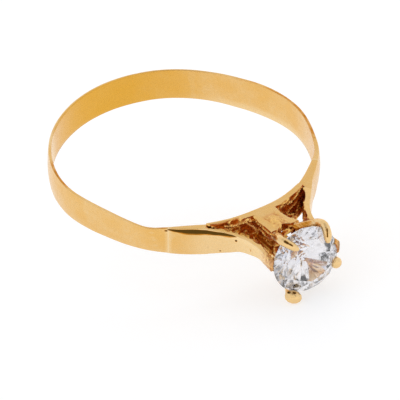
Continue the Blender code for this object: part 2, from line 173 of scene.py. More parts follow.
# Shoulder plates, from the wedge to the girdle: across, out, thickness, width, bulge, lean.
LEFT_PLATE = (
    (-4.04, 8.19, 0.22, 1.99, 0.17, 0.42), (-3.67, 8.52, 0.21, 1.85, 0.15, 0.38),
    (-2.97, 9.19, 0.23, 1.53, 0.10, 0.30), (-2.57, 9.72, 0.27, 1.17, 0.06, 0.25),
    (-2.31, 10.40, 0.32, 1.03, 0.05, 0.25), (-2.19, 11.20, 0.36, 0.82, 0.05, 0.25),
    (-2.30, 12.12, 0.36, 0.84, 0.05, 0.25), (-2.42, 12.72, 0.34, 0.72, 0.05, 0.25),
)
RIGHT_PLATE = (
    (4.03, 8.71, 0.54, 2.05, 0.07, 0.60), (3.62, 9.14, 0.42, 1.78, 0.06, 0.50),
    (3.16, 9.62, 0.38, 1.46, 0.05, 0.40), (2.80, 10.20, 0.36, 1.20, 0.05, 0.35),
    (2.56, 10.92, 0.36, 1.00, 0.05, 0.30), (2.42, 11.80, 0.36, 0.92, 0.05, 0.30),
    (2.38, 12.80, 0.38, 0.92, 0.05, 0.30), (2.42, 13.62, 0.36, 0.92, 0.05, 0.30),
)
PLATE_STEPS = 120
LEFT_DENTS = (
    ((-2.76, -9.55, 0.31), (-2.76, -9.55, 0.31), 0.10, 0.07, 1.0),
    ((-3.46, -8.78, -0.65), (-3.44, -8.80, -0.65), 0.07, 0.04, 0.8),
    ((-2.33, -10.51, -0.03), (-2.33, -10.52, -0.12), 0.06, 0.03, 0.6),
    ((-2.42, -12.72, -0.13), (-2.42, -12.60, -0.13), 0.09, 0.05, 0.7),
    ((-2.40, -12.40, -0.06), (-2.40, -12.36, -0.16), 0.08, 0.04, 0.6),
)
RIGHT_DENTS = (((4.30, -8.10, 1.06), (4.40, -8.05, 1.06), 0.10, -0.03, 0.0),)
CLAW_DENTS = {
    "upper_left": (
        ((-1.53, -13.04, 1.86), (-1.46, -13.18, 1.80), 0.095, 0.05, 1.0),
        ((-1.46, -13.18, 1.80), (-1.26, -13.48, 1.65), 0.06, 0.03, 1.0),
    ),
    "upper_right": (
        ((1.36, -13.66, 1.92), (1.21, -13.90, 1.52), 0.07, 0.03, 0.8),
    ),
    "lower_left": (
        ((-1.50, -13.44, -1.99), (-1.46, -13.50, -1.99), 0.10, 0.06, 0.95),
        ((-1.30, -13.72, -1.96), (-1.24, -13.78, -1.96), 0.09, 0.05, 0.95),
    ),
    "lower_right": (),
}

# Finger rail: angle and inner radius.
RAIL = ((-26.15, 8.58), (-15, 8.53), (-3, 8.46), (9, 8.55), (24.65, 8.59))

# Skins of the cast members: voxel, how far they grow to close the joint gaps, how close two corners of
# a CAD node are when they count as one, and how much and how often the skins are smoothed. What the
# stems have within STEM_ROOT of the axis reaches in by ROOT_REACH, into the rail.
VOXEL = 0.034
CLAW_VOXEL = 0.028
GROW = 0.018
MERGE = 0.0005
SMOOTHING = 0.5
FEW_ROUNDS = 2
MANY_ROUNDS = 5
STEM_ROOT = 9.15
ROOT_REACH = 0.18

# Wear all over: size and height of the broad and the fine waves.
BROAD_WAVES = (1.4, 0.007)
FINE_WAVES = (0.4, 0.003)
SHARP_ANGLE = 60.0
# Casting: the crest noted where it is smooth and, where it is rough, its depth, the crest that stays in
# place, how much of the crust a ridge sheds, and how deep a hollow is and how dark its painted shade is.
PLAIN_CREST = 0.5
CRUST_DEPTH = 0.26
CREST_MIDDLE = 0.6
RIDGE_SHEDS = 0.6
HOLLOW_DEPTH = 0.04
HOLLOW_SHADE = 0.62
# Size of the ridges left by the casting: round the band, in height and outwards.
BAND_GRAIN = (1.2, 0.46, 0.46)
STEM_GRAIN = (0.46, 0.46, 1.4)
PLATE_GRAIN = (0.7, 0.45, 0.7)

# Ridges that stand out of the rough casting in the shoulder openings, with their crests painted light as
# highlights: both ends, radius, height.
RIDGES = (
    ((-2.80, -8.46, 0.80), (-2.14, -8.74, 0.80), 0.07, 0.05),
    ((-2.14, -8.74, 0.80), (-1.62, -8.87, 0.86), 0.09, 0.07),
    ((-1.62, -8.87, 0.86), (-1.30, -8.86, 0.96), 0.13, 0.09),
    ((-1.16, -8.83, 0.93), (-1.00, -8.80, 0.55), 0.15, 0.08),
    ((-1.30, -8.84, 0.62), (-0.90, -8.87, 0.25), 0.13, 0.07),
    ((-0.90, -8.87, 0.25), (-0.61, -8.94, -0.16), 0.14, 0.08),
    ((-0.55, -9.05, -0.41), (-0.54, -9.92, -0.40), 0.14, 0.07),
    ((-0.54, -9.92, -0.40), (-0.72, -10.50, -0.41), 0.12, 0.06),
    ((-2.02, -9.12, 0.22), (-1.92, -9.20, 0.12), 0.15, 0.06),
    ((-1.70, -9.28, 0.08), (-1.52, -9.34, 0.02), 0.14, 0.06),
    ((-0.95, -8.88, -0.97), (-0.65, -8.90, -0.97), 0.20, 0.04),
    ((-1.00, -10.80, -0.42), (-1.02, -10.90, -0.44), 0.12, 0.05),
    ((1.10, -8.95, 0.64), (1.68, -8.82, 0.68), 0.08, 0.06),
    ((1.68, -8.82, 0.68), (2.25, -8.76, 0.72), 0.10, 0.07),
    ((1.85, -8.86, -0.62), (2.30, -8.75, -0.38), 0.11, 0.06),
    ((2.30, -8.75, -0.38), (2.79, -8.77, -0.22), 0.09, 0.06),
    ((2.79, -8.77, -0.22), (3.17, -8.70, -0.23), 0.09, 0.05),
)
# Hollows between them, painted dark as shade: both ends and radius.
HOLLOWS = (
    ((-2.40, -8.98, 0.48), (-1.96, -8.93, 0.25), 0.09),
    ((-1.96, -8.93, 0.25), (-1.26, -8.85, -0.01), 0.10),
    ((-1.26, -8.85, -0.01), (-1.03, -9.00, -0.25), 0.10),
    ((-0.90, -9.25, -0.41), (-0.94, -10.12, -0.42), 0.11),
    ((-1.10, -10.02, -0.55), (-1.10, -10.20, -0.55), 0.14),
    ((-1.15, -10.95, -0.52), (-1.12, -11.05, -0.52), 0.12),
    ((2.05, -8.80, -0.20), (2.55, -8.72, -0.02), 0.09),
    ((2.90, -8.50, 0.50), (3.40, -8.36, 0.62), 0.20),
)

# Painted shade, a dark reflection under the lip of the left shoulder: across, height of the lip, where the
# dark starts below it and how tall it is.
LEFT_SHADE = (
    (-6.20, 1.01, 0.07, 0.00), (-5.83, 1.01, 0.07, 0.12), (-5.40, 1.03, 0.08, 0.24),
    (-4.95, 1.05, 0.09, 0.30), (-4.23, 1.01, 0.08, 0.26), (-3.49, 0.88, 0.07, 0.20),
    (-3.00, 0.77, 0.06, 0.16), (-2.62, 0.62, 0.05, 0.00),
)
# Radius outside which a place counts as the outer side of the shoulder.
SHOULDER_OUTSIDE = 8.85
# Painted shade on the upper rim: how dark it is, by angle.
RIM_SHADE = (
    (-180, 0.0), (-125, 0.0), (-112, 0.38), (-100, 0.36), (-88, 0.22), (-60, 0.18), (-43, 0.30),
    (-30, 0.0), (50, 0.0), (64, 0.40), (90, 0.36), (112, 0.30), (126, 0.0), (180, 0.0),
)
# Paler metal: the angle of the left seam and of the patch on the left of the inner face, which is a painted
# reflection, the radius of that face, the painted highlight on the left shoulder, and how pale from wear the
# claws and the right plate are.
SEAM_ANGLE = -42.0
PALE_ANGLE = -131.0
INNER_FACE = 8.95
SHOULDER_HIGHLIGHT = 0.6
CLAW_WEAR = 0.45
RIGHT_PLATE_WEAR = 0.2

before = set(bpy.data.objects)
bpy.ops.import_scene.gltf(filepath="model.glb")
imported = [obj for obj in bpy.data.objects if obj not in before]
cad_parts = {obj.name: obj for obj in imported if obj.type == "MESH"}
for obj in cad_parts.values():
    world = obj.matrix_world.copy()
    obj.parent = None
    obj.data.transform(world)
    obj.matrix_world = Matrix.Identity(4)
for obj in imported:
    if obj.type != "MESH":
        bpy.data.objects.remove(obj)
cad_low, cad_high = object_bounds()


# Camera, light and floor

def direction(azimuth, elevation):
    turn = math.radians(azimuth)
    rise = math.radians(elevation)
    return (math.cos(rise) * math.cos(turn), math.cos(rise) * math.sin(turn), math.sin(rise))


def make_camera():
    roll = math.radians(CAMERA_ROLL)
    towards = Vector(direction(CAMERA_AZIMUTH, CAMERA_ELEVATION))
    place = towards * CAMERA_DISTANCE
    right = (-towards).cross(Vector((0, 0, 1))).normalized()
    up = right.cross(-towards)
    tilted_right = right * math.cos(roll) + up * math.sin(roll)
    tilted_up = up * math.cos(roll) - right * math.sin(roll)
    back = (place - tilted_right * AIM_RIGHT + tilted_up * AIM_DOWN).normalized()
    side = tilted_up.cross(back).normalized()
    data = bpy.data.cameras.new("camera")
    data.sensor_width = SENSOR_WIDTH
    data.lens = CAMERA_LENS
    data.clip_start = NEAREST
    data.clip_end = FARTHEST
    camera = bpy.data.objects.new("camera", data)
    bpy.context.scene.collection.objects.link(camera)
    turned = Matrix((side, back.cross(side), back)).transposed().to_4x4()
    camera.matrix_world = Matrix.Translation(place * MM) @ turned
    bpy.context.scene.camera = camera


def add(tree, kind, inputs=(), **settings):
    """A shader node with its settings. An input is linked if its value is a socket, and set if not."""
    item = tree.nodes.new("ShaderNode" + kind)
    for name, value in settings.items():
        setattr(item, name, value)
    for name, value in dict(inputs).items():
        if isinstance(value, bpy.types.NodeSocket):
            tree.links.new(value, item.inputs[name])
        else:
            item.inputs[name].default_value = value
    return item


def dot(tree, vector, constant):
    return add(tree, "VectorMath", {0: vector, 1: constant}, operation="DOT_PRODUCT").outputs["Value"]


def edge_of(tree, sine, start, end):
    """0 where the sine is that of the start angle, 1 where it is that of the end angle."""
    return add(tree, "MapRange", {
        "Value": sine, "From Min": math.sin(math.radians(start)), "From Max": math.sin(math.radians(end)),
    }, interpolation_type="SMOOTHSTEP").outputs[0]


def make_world():
    world = bpy.data.worlds.new("studio")
    bpy.context.scene.world = world
    world.use_nodes = True
    tree = world.node_tree
    background = tree.nodes["Background"]
    looking = add(tree, "TexCoord").outputs["Generated"]
    height = add(tree, "SeparateXYZ", {0: looking}).outputs[2]
    right = dot(tree, looking, direction(CAMERA_AZIMUTH + 90, 0))
    side = add(tree, "Math", {0: right}, operation="ABSOLUTE").outputs[0]
    front = dot(tree, looking, direction(CAMERA_AZIMUTH, 0))
    shade = edge_of(tree, height, CARD_LOW, CARD_LOW + CARD_SOFTNESS)
    shade = times(tree, shade, edge_of(tree, height, CARD_HIGH, CARD_HIGH - CARD_SOFTNESS))
    shade = times(tree, shade, edge_of(tree, side, CARD_HALF_WIDTH + CARD_SOFTNESS, CARD_HALF_WIDTH))
    shade = times(tree, shade, edge_of(tree, front, 0.0, CARD_SOFTNESS))
    far = edge_of(tree, height, FAR_LOW, FAR_LOW + CARD_SOFTNESS)
    far = times(tree, far, edge_of(tree, height, FAR_HIGH, FAR_HIGH - CARD_SOFTNESS))
    far = times(tree, far, edge_of(tree, front, 0.0, -CARD_SOFTNESS))
    colour = blend_colour(tree, edge_of(tree, side, SIDE_START, SIDE_FULL), DOME_WHITE, SIDE_COLOUR)
    colour = blend_colour(tree, edge_of(tree, height, TOP_START, TOP_FULL), colour, TOP_COLOUR)
    colour = blend_colour(tree, far, colour, FAR_COLOUR)
    tree.links.new(blend_colour(tree, shade, colour, CARD_COLOUR), background.inputs["Color"])
    background.inputs["Strength"].default_value = DOME_STRENGTH


def lowest(node, normal):
    return min(corner.co.dot(normal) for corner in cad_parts[node].data.vertices)


def floor_normal():
    """The floor under the ring as it lies, on its lower left claw and on the back of the band."""
    flat = 0.0
    steep = STEEPEST_FLOOR
    for _ in range(FLOOR_HALVINGS):
        slope = (flat + steep) / 2
        normal = Vector((0, slope, 1)).normalized()
        if lowest("claw_lower_left", normal) < lowest("shank", normal):
            flat = slope
        else:
            steep = slope
    return normal


def make_floor():
    normal = floor_normal()
    height = min(lowest("claw_lower_left", normal), lowest("shank", normal))
    bpy.ops.mesh.primitive_plane_add(size=FLOOR_SIZE * MM)
    floor = bpy.context.object
    floor.name = "floor"
    tilt = normal.to_track_quat("Z", "Y").to_matrix().to_4x4()
    floor.matrix_world = Matrix.Translation(normal * height) @ tilt
    material = bpy.data.materials.new("white_sweep")
    material.use_nodes = True
    shader = material.node_tree.nodes["Principled BSDF"]
    shader.inputs["Base Color"].default_value = FLOOR_COLOUR
    shader.inputs["Roughness"].default_value = FLOOR_ROUGHNESS
    shader.inputs["Specular IOR Level"].default_value = FLOOR_SHINE
    shader.inputs["Emission Color"].default_value = (1.0, 1.0, 1.0, 1.0)
    shader.inputs["Emission Strength"].default_value = FLOOR_GLOW
    floor.data.materials.append(material)


# Materials

def millimetres(tree):
    """The place in the ring's frame, in millimetres."""
    place = add(tree, "TexCoord").outputs["Object"]
    return add(tree, "VectorMath", {0: place, 3: 1 / MM}, operation="SCALE").outputs[0]


def stretched(tree, place, stretch):
    return add(tree, "VectorMath", {0: place, 1: stretch}, operation="MULTIPLY").outputs[0]


def noise_of(tree, vector, scale, detail=3.0, roughness=0.5, distortion=0.0):
    return add(tree, "TexNoise", {
        "Vector": vector, "Scale": scale, "Detail": detail, "Roughness": roughness, "Distortion": distortion,
    }).outputs[0]


def spread_of(tree, value, low, high, to_low=0.0, to_high=1.0):
    """The value from low to high, spread over to_low to to_high."""
    return add(tree, "MapRange", {
        "Value": value, "From Min": low, "From Max": high, "To Min": to_low, "To Max": to_high,
    }).outputs[0]


def blend_colour(tree, share, first, second):
    return add(tree, "Mix", {0: share, 6: first, 7: second}, data_type="RGBA").outputs[2]


def times(tree, first, second):
    return add(tree, "Math", {0: first, 1: second}, operation="MULTIPLY").outputs[0]


def plus(tree, first, second):
    return add(tree, "Math", {0: first, 1: second}, operation="ADD").outputs[0]


def clean_gold(tree, place, noises, wear_and_highlight, pale, deep):
    """Two tones in patches, mottled and grainy. Edges are paler as a painted highlight, places marked for
    wear and painted highlight are paler, and painted light makes the far inner face a deeper yellow."""
    geometry = add(tree, "NewGeometry").outputs
    patches = spread_of(tree, noise_of(tree, place, PATCH_SCALE, 4.0, 0.6), 0.36, 0.66)
    # Painted highlight: edges, found by their pointiness, are paler.
    edge = spread_of(tree, geometry["Pointiness"], 0.50, 0.58)
    metal = blend_colour(tree, patches, deep, pale)
    metal = blend_colour(tree, spread_of(tree, noises["mottle"], 0.35, 0.7, 0.0, 0.6), metal, deep)
    metal = blend_colour(tree, spread_of(tree, noises["grain"], 0.3, 0.7, 0.0, 0.35), metal, pale)
    metal = blend_colour(tree, times(tree, edge, 0.5), metal, pale)
    # Painted light: the far inner face is painted a deeper yellow.
    far = spread_of(tree, dot(tree, place, DEEP_SIDE), DEEP_START, DEEP_FULL)
    inside = spread_of(tree, dot(tree, geometry["Normal"], DEEP_SIDE), 0.0, -0.7)
    metal = blend_colour(tree, times(tree, times(tree, far, inside), DEEP_SHARE), metal, DEEP_GOLD)
    # Places marked for wear and for painted highlight turn paler.
    wear_and_highlight_share = times(tree, wear_and_highlight, spread_of(tree, noises["mottle"], 0.2, 0.6, 0.6, 1.0))
    return blend_colour(tree, wear_and_highlight_share, metal, SOLDER_AND_HIGHLIGHT_GOLD)


def shaded_and_tarnished(tree, metal, noises, tarnish_and_shade):
    """The metal, turning amber and then dark where the mesh marks tarnishing and painted shade. Its streaks
    break up the edge.
    """
    broken = plus(tree, tarnish_and_shade, spread_of(tree, noises["streaks"], 0.3, 0.7, -0.25, 0.25))
    dull = times(tree, spread_of(tree, broken, 0.25, 0.75), spread_of(tree, tarnish_and_shade, 0.02, 0.25))
    metal = blend_colour(tree, spread_of(tree, dull, 0.0, 0.5), metal, AMBER)
    return blend_colour(tree, spread_of(tree, dull, 0.5, 1.0), metal, SHADE_AND_TARNISH)


# Painted light on the rough casting: crests painted light as highlights, hollows dark red, partly tarnishing
# and partly painted shade.
def crust_shade_and_highlight(tree, noises, crest):
    peaks = plus(tree, crest, spread_of(tree, noises["grain"], 0.3, 0.7, -0.1, 0.1))
    return blend_colour(tree, spread_of(tree, peaks, 0.58, 0.90), CRUST_SHADE_AND_TARNISH, CRUST_HIGHLIGHT)


def gold_roughness(tree, noises, crust, crest, polish):
    brushed = spread_of(tree, noises["streaks"], 0.3, 0.75, polish - 0.07, polish + 0.12)
    blotched = plus(tree, brushed, spread_of(tree, noises["mottle"], 0.3, 0.7, -0.05, 0.08))
    return plus(tree, blotched, times(tree, crust, spread_of(tree, crest, 0.3, 0.9, 0.20, -0.02)))


def gold_relief(tree, place, noises, crust, scratch, pits):
    """Height of the streaks, scratches, mottling and pits, and of the grain of the crust."""
    cross_streaks = noise_of(tree, stretched(tree, place, CROSS_STRETCH), 1.0, 3.0, 0.6, 0.4)
    spots = add(
        tree, "TexVoronoi", {"Vector": place, "Scale": PIT_SCALE, "Randomness": 1.0}, feature="F1",
    ).outputs[0]
    pit = spread_of(tree, spots, 0.0, 0.07, 1.0, 0.0)
    height = plus(tree, times(tree, noises["streaks"], scratch), times(tree, cross_streaks, scratch * 0.6))
    height = plus(tree, height, times(tree, noises["mottle"], scratch * 0.9))
    height = plus(tree, height, times(tree, pit, -pits))
    return plus(tree, height, times(tree, crust, times(tree, noises["grain"], 30.0)))


def gold_material(name, pale, deep, polish, scratch, pits):
    """Worn gold with painted highlights and painted shade where the mesh marks them, and a dark crust where
    the mesh says that it was left rough from the casting, its crests painted light as highlights and its
    hollows dark, partly tarnishing and partly painted shade.
    """
    material = bpy.data.materials.new(name)
    material.use_nodes = True
    tree = material.node_tree
    shader = tree.nodes["Principled BSDF"]
    shader.inputs["Metallic"].default_value = 1.0
    place = millimetres(tree)
    crust, crest, tarnish_and_shade, wear_and_highlight = (
        add(tree, "Attribute", attribute_name=layer).outputs["Fac"] for layer in LAYERS
    )
    noises = {
        "mottle": noise_of(tree, place, MOTTLE_SCALE, 4.0, 0.6),
        "streaks": noise_of(tree, stretched(tree, place, STREAK_STRETCH), 1.0, 5.0, 0.7),
        "grain": noise_of(tree, place, GRAIN_SCALE, 4.0, 0.65),
    }

    metal = clean_gold(tree, place, noises, wear_and_highlight, pale, deep)
    metal = shaded_and_tarnished(tree, metal, noises, tarnish_and_shade)
    colour = blend_colour(tree, crust, metal, crust_shade_and_highlight(tree, noises, crest))
    relief = gold_relief(tree, place, noises, crust, scratch, pits)
    bump = add(tree, "Bump", {"Strength": 1.0, "Distance": BUMP_DISTANCE * MM, "Height": relief})
    tree.links.new(colour, shader.inputs["Base Color"])
    tree.links.new(gold_roughness(tree, noises, crust, crest, polish), shader.inputs["Roughness"])
    tree.links.new(bump.outputs[0], shader.inputs["Normal"])
    return material


def stone_material():
    """Clear stone, slightly tinted, smeared and scuffed by wear."""
    material = bpy.data.materials.new("clear_stone")
    material.use_nodes = True
    tree = material.node_tree
    shader = tree.nodes["Principled BSDF"]
    shader.inputs["Transmission Weight"].default_value = 1.0
    shader.inputs["IOR"].default_value = STONE_IOR
    place = millimetres(tree)
    smear = spread_of(tree, noise_of(tree, place, 1.6, 4.0, 0.6), 0.3, 0.8, 0.05, 0.11)
    tree.links.new(smear, shader.inputs["Roughness"])
    tint = blend_colour(tree, noise_of(tree, place, 0.4), STONE_COOL, STONE_WARM)
    tree.links.new(tint, shader.inputs["Base Color"])
    wear = noise_of(tree, place, 9.0, 4.0, 0.7)
    bump = add(tree, "Bump", {"Strength": 0.3, "Distance": STONE_BUMP_DISTANCE * MM, "Height": wear})
    tree.links.new(bump.outputs[0], shader.inputs["Normal"])
    return material


# Shapes

def smooth(stations, position):
    """Value of a smooth curve through the stations, whose first numbers are their positions."""
    last = len(stations) - 2
    index = 0
    while index < last and position > stations[index + 1][0]:
        index += 1
    before = stations[max(index - 1, 0)]
    start = stations[index]
    end = stations[index + 1]
    after = stations[min(index + 2, last + 1)]
    span = end[0] - start[0]
    part = (position - start[0]) / span
    values = []
    for column in range(1, len(start)):
        slope_in = (end[column] - before[column]) / (end[0] - before[0]) * span
        slope_out = (after[column] - start[column]) / (after[0] - start[0]) * span
        values.append(
            (2 * part**3 - 3 * part**2 + 1) * start[column]
            + (part**3 - 2 * part**2 + part) * slope_in
            + (3 * part**2 - 2 * part**3) * end[column]
            + (part**3 - part**2) * slope_out
        )
    return values


def band_place(angle, radius, up):
    turn = math.radians(angle)
    return Vector((radius * math.sin(turn), -radius * math.cos(turn), up))


def band_angle(place):
    return math.degrees(math.atan2(place.x, -place.y))


def band_radius(place):
    return math.hypot(place.x, place.y)


def ease(value, low, high):
    """0 below low, 1 above high and smooth between them."""
    part = min(max((value - low) / (high - low), 0.0), 1.0)
    return part * part * (3 - 2 * part)


def ripple(place, size):
    """Smooth noise from -1 to 1 whose waves are about this size."""
    return noise.noise(place / size)


def ridges(place, size):
    """Sharp-crested noise of about this size, from 0 to 1."""
    return 1 - abs(noise.noise(place / size)) * 2


def add_layer(mesh, name, values):
    layer = mesh.attributes.new(name, "FLOAT", "POINT")
    layer.data.foreach_set("value", np.asarray(values, np.float32))


def finish_piece(mesh, name, material, node):
    """Scales the mesh to metres, keeps it in the CAD box and lets it stand for its CAD node."""
    places = np.empty(len(mesh.vertices) * 3)
    mesh.vertices.foreach_get("co", places)
    places = places.reshape(-1, 3) * MM
    places = np.clip(places, np.array(cad_low), np.array(cad_high))
    mesh.vertices.foreach_set("co", places.ravel())
    mesh.update()
    mesh.materials.clear()
    mesh.materials.append(material)
    piece = bpy.data.objects.new(name, mesh)
    bpy.context.scene.collection.objects.link(piece)
    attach(piece, "root")
    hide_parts(node)


def corner_arc(centre_reach, centre_up, radius, start):
    """A rounded corner of a section, a quarter turn clockwise from the start angle."""
    points = []
    for step in range(ROUND_STEPS + 1):
        turn = math.radians(start - 90 * step / ROUND_STEPS)
        points.append((centre_reach + radius * math.cos(turn), centre_up + radius * math.sin(turn)))
    return points


def bar_profile(width, thickness, bulge, lean, rim, face_steps=FACE_STEPS):
    """Section of a bar, as reach from its inner side and height. Its corners are rounded by rim, and
    its outer side leans out by bulge over the height lean and then falls back towards the bottom."""
    half = width / 2
    rim = min(rim, thickness / 2 - LEAST_FLAT)
    profile = []
    face = half - rim
    for step in range(1, face_steps):
        profile.append((0.0, -face + 2 * face * step / face_steps))
    profile += corner_arc(rim, face, rim, 180)
    for step in range(1, TOP_STEPS):
        profile.append((rim + (thickness - 2 * rim) * step / TOP_STEPS, half))
    profile += corner_arc(thickness - rim, face, rim, 90)[:-1]
    for step in range(OUTER_STEPS + 1):
        down = 2 * face * step / OUTER_STEPS
        if down < lean:
            rise = math.sin(math.pi / 2 * down / lean)
        else:
            fallen = (down - lean) / (2 * face - lean + FALL_REST)
            rise = math.cos(math.pi / 2 * fallen) ** FALL_POWER
        profile.append((thickness + bulge * rise, face - down))
    profile += corner_arc(thickness - rim, -face, rim, 0)[1:]
    profile += corner_arc(rim, -face, rim, -90)[:-1]
    return profile


def loft(name, sections):
    """A closed mesh through sections with the same number of points."""
    bm = bmesh.new()
    loops = [[bm.verts.new(place) for place in section] for section in sections]
    count = len(loops[0])
    for before, after in zip(loops, loops[1:]):
        for index in range(count):
            follow = (index + 1) % count
            bm.faces.new((before[index], after[index], after[follow], before[follow]))
    bm.faces.new(loops[0])
    bm.faces.new(reversed(loops[-1]))
    bmesh.ops.recalc_face_normals(bm, faces=bm.faces)
    mesh = bpy.data.meshes.new(name)
    bm.to_mesh(mesh)
    bm.free()
    return mesh


def band_section(angle, inner, thickness, width, bulge, lean, rim):
    profile = bar_profile(width, thickness, bulge, lean, rim)
    return [band_place(angle, inner + reach, up) for reach, up in profile]


def spread(stations, steps):
    """Even steps along the smooth curve through the stations."""
    first = stations[0][0]
    reach = stations[-1][0] - first
    for step in range(steps + 1):
        position = first + reach * step / steps
        yield (position, *smooth(stations, position))


def make_shank(material):
    sections = []
    for angle, inner, width, thickness in spread(SHANK, SHANK_STEPS):
        sections.append(band_section(angle, inner, thickness, width, SHANK_DOME, width / 2, RIM_ROUND))
    mesh = loft("shank_band", sections)
    weather(mesh, tarnish_and_shade=rim_painted_shade, wear_and_highlight=band_wear_and_highlight, dents=SHANK_DENTS)
    finish_piece(mesh, "shank_band", material, "shank")


def make_seam(name, shank_end, wedge_end, material, node):
    """The solder between the shank and a wedge, a little proud of both."""
    angle, inner, width, thickness = shank_end
    wedge_angle, wedge_inner, wedge_thickness, wedge_width, bulge, lean = wedge_end
    if wedge_angle < 0:
        angle -= 360
    sections = []
    for step in range(SEAM_STEPS + 1):
        part = step / SEAM_STEPS
        proud = SEAM_PROUD * math.sin(math.pi * part)
        start = (angle, inner - proud, thickness + 2 * proud, width + proud, SHANK_DOME, width / 2)
        end = (
            wedge_angle, wedge_inner - proud, wedge_thickness + 2 * proud, wedge_width + proud, bulge, lean,
        )
        values = [before + (after - before) * part for before, after in zip(start, end)]
        sections.append(band_section(*values, RIM_ROUND + (LIP_ROUND - RIM_ROUND) * part))
    mesh = loft(name, sections)
    weather(mesh, tarnish_and_shade=shoulder_painted_shade, wear_and_highlight=band_wear_and_highlight)
    finish_piece(mesh, name, material, node)


def make_wedge(name, stations, material, dents, node):
    sections = [band_section(*values, LIP_ROUND) for values in spread(sorted(stations), WEDGE_STEPS)]
    mesh = loft(name, sections)
    weather(mesh, tarnish_and_shade=shoulder_painted_shade, wear_and_highlight=band_wear_and_highlight, dents=dents)
    finish_piece(mesh, name, material, node)


def make_plate(name, stations, side, material, dents, node, bearing):
    """A shoulder plate along its outer outline, cut where the stone sits in it."""
    numbered = [(float(index), *station) for index, station in enumerate(stations)]
    curve = list(spread(numbered, PLATE_STEPS))
    outline = [Vector((across, -out, 0)) for _, across, out, *_ in curve]
    sections = []
    for index, (_, _, _, thickness, width, bulge, lean) in enumerate(curve):
        along = (outline[min(index + 1, PLATE_STEPS)] - outline[max(index - 1, 0)]).normalized()
        inward = Vector((along.y, -along.x, 0)) * side
        if index == 0:
            inward = -outline[0].normalized()
        inner = outline[index] + inward * thickness
        profile = bar_profile(width, thickness, bulge, lean, LIP_ROUND, PLATE_FACE_STEPS)
        sections.append([inner - inward * reach + Vector((0, 0, up)) for reach, up in profile])
    mesh = modified(loft(name, sections), name + "_helper", (
        ("BOOLEAN", {"operation": "DIFFERENCE", "solver": "EXACT", "object": bearing}),
    ))
    weather(mesh, plate_rough, plate_shade_and_darkening, plate_wear_and_highlight, dents, PLATE_GRAIN)
    finish_piece(mesh, name, material, node)


def cad_shape(node):
    """The CAD node's shape in millimetres, with its faces joined at their shared corners."""
    bm = bmesh.new()
    bm.from_mesh(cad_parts[node].data)
    bmesh.ops.scale(bm, vec=(1 / MM, 1 / MM, 1 / MM), verts=bm.verts)
    bmesh.ops.remove_doubles(bm, verts=bm.verts, dist=MERGE)
    return bm


def make_bearing():
    """The stone's shape, in millimetres: it cuts its own seat in the shoulder plates."""
    bm = cad_shape("stone")
    mesh = bpy.data.meshes.new("bearing")
    bm.to_mesh(mesh)
    bm.free()
    bearing = bpy.data.objects.new("bearing", mesh)
    bpy.context.scene.collection.objects.link(bearing)
    return bearing


def modified(mesh, name, steps):
    """The mesh after these modifiers, each given as its type and its settings."""
    helper = bpy.data.objects.new(name, mesh)
    bpy.context.scene.collection.objects.link(helper)
    for kind, settings in steps:
        modifier = helper.modifiers.new(kind, kind)
        for setting, value in settings.items():
            setattr(modifier, setting, value)
    bpy.context.view_layer.update()
    seen = helper.evaluated_get(bpy.context.evaluated_depsgraph_get())
    made = bpy.data.meshes.new_from_object(seen)
    bpy.data.objects.remove(helper)
    return made


def cad_skin(node, voxel, rounds, root):
    """The CAD node as one even skin, grown to close its joint gaps and with its edges rounded as by wear.
    What is nearer the axis than root reaches a little further in, so that it sinks into the rail."""
    bm = cad_shape(node)
    bmesh.ops.recalc_face_normals(bm, faces=bm.faces)
    bm.normal_update()
    for corner in bm.verts:
        corner.co += corner.normal * GROW
        if band_radius(corner.co) < root:
            corner.co -= Vector((corner.co.x, corner.co.y, 0)).normalized() * ROOT_REACH
    mesh = bpy.data.meshes.new(node + "_rough")
    bm.to_mesh(mesh)
    bm.free()
    return modified(mesh, node + "_helper", (
        ("REMESH", {"mode": "VOXEL", "voxel_size": voxel, "use_smooth_shade": True}),
        ("SMOOTH", {"factor": SMOOTHING, "iterations": rounds}),
    ))


def nowhere(place, normal):
    return 0.0


def make_cast(name, node, material, crust=nowhere, tarnish_and_shade=nowhere, wear_and_highlight=nowhere, dents=(),
              grain=BAND_GRAIN, voxel=VOXEL, rounds=FEW_ROUNDS, root=0.0):
    """A cast member. Crust says for a place and normal how rough it is, the next function how dark it is
    from tarnishing and painted shade, and the one after how pale it is from wear and painted highlight.
    """
    mesh = cad_skin(node, voxel, rounds, root)
    weather(mesh, crust, tarnish_and_shade, wear_and_highlight, dents, grain, sharp=False)
    finish_piece(mesh, name, material, node)


def crest_of(place, grain):
    """Height of the rough casting, from 0 in its hollows to 1 on its ridges. Grain is the size of the
    ridges round the band, in height and outwards."""
    radius = band_radius(place)
    round_band = math.radians(band_angle(place)) * radius
    unrolled = Vector((round_band / grain[0], place.z / grain[1], radius / grain[2]))
    height = 0.75 * ridges(unrolled, 1.0) + 0.25 * ridges(place + Vector((7, 7, 7)), 0.22)
    return min(max(height, 0.0), 1.0)


def distance_to(place, start, end):
    """Distance to a line from start to end."""
    along = end - start
    part = (place - start).dot(along) / along.length_squared if along.length else 0.0
    return (place - start - along * min(max(part, 0.0), 1.0)).length


def casting_relief(place, rough, dark, grain):
    """How far the rough casting stands out, and its roughness, crest and darkness, with the ridges and
    hollows that can be told apart in it: the ridges lit by a painted highlight and the hollows darkened by
    painted shade."""
    crest = crest_of(place, grain)
    lift = rough * (crest - CREST_MIDDLE) * CRUST_DEPTH
    for start, end, radius, height in RIDGES:
        away = distance_to(place, Vector(start), Vector(end)) / radius
        if away < 1:
            share = 1 - away * away
            lift += height * share
            crest = max(crest, share)
            rough *= 1 - RIDGE_SHEDS * share
    for start, end, radius in HOLLOWS:
        away = distance_to(place, Vector(start), Vector(end)) / radius
        if away < 1:
            lift -= HOLLOW_DEPTH * (1 - away * away)
            crest *= away
            dark = max(dark, HOLLOW_SHADE * (1 - away**3))
    return lift, rough, crest, dark


